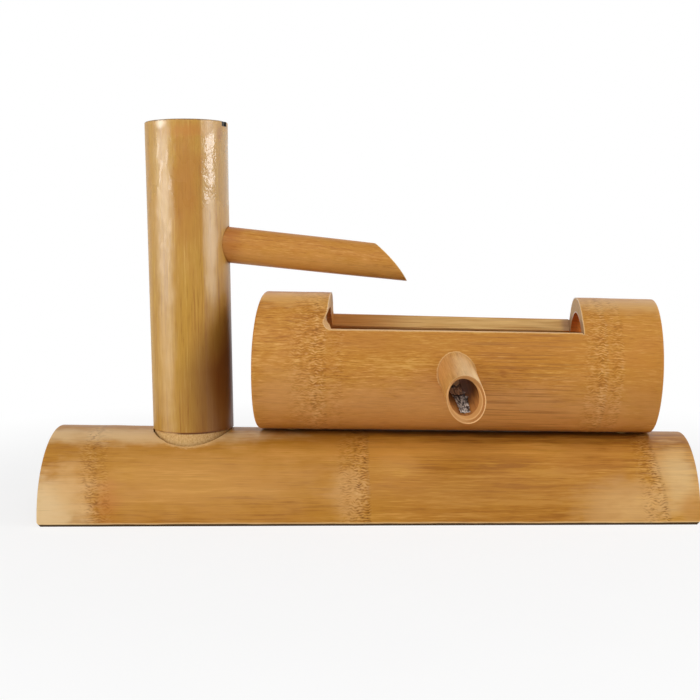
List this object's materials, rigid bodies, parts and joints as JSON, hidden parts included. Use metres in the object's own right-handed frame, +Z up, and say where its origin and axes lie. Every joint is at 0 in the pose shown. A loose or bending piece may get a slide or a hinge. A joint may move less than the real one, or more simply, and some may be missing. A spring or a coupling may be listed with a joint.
{
  "type": "bamboo spout fountain",
  "caption": "Bamboo fountain: an upright culm on a split culm base pours from a slanted spout into a trough with a small outlet tube.",
  "frame": {"origin": "middle of the sawn underside of the partition at the base's middle node, on the surface the base stands on", "axes": "+X along the base from the post's end to the trough's end, +Y to the back, away from the outlet, +Z up"},
  "size_m": [0.4, 0.1213, 0.2451],
  "materials": {
    "base_bamboo": "varnished",
    "post_bamboo": "glossy varnish",
    "spout_bamboo": "satin varnish",
    "trough_bamboo": "varnished",
    "outlet_bamboo": "scraped, satin varnish",
    "peg_bamboo": "raw",
    "hose_vinyl": "smooth",
    "joiner_plastic": "moulded"
  },
  "bodies": {
    "base": {"base_half_culm": "base_bamboo", "trough_peg_left": "peg_bamboo", "trough_peg_right": "peg_bamboo"},
    "post": {"post_culm": "post_bamboo", "spout_tube": "spout_bamboo", "riser_hose": "hose_vinyl", "hose_joiner": "joiner_plastic"},
    "trough": {"trough_culm": "trough_bamboo", "outlet_tube": "outlet_bamboo"}
  },
  "joints": [
    {"name": "post_swivel", "type": "hinge", "parent": "base", "child": "post", "pos_m": [-0.1065, 0, 0.052], "axis": [0, 0, 1], "range_deg": [-180, 180]},
    {"name": "trough_lift", "type": "slide", "parent": "base", "child": "trough", "axis": [0, 0, 1], "range_m": [0, 0.01]}
  ]
}
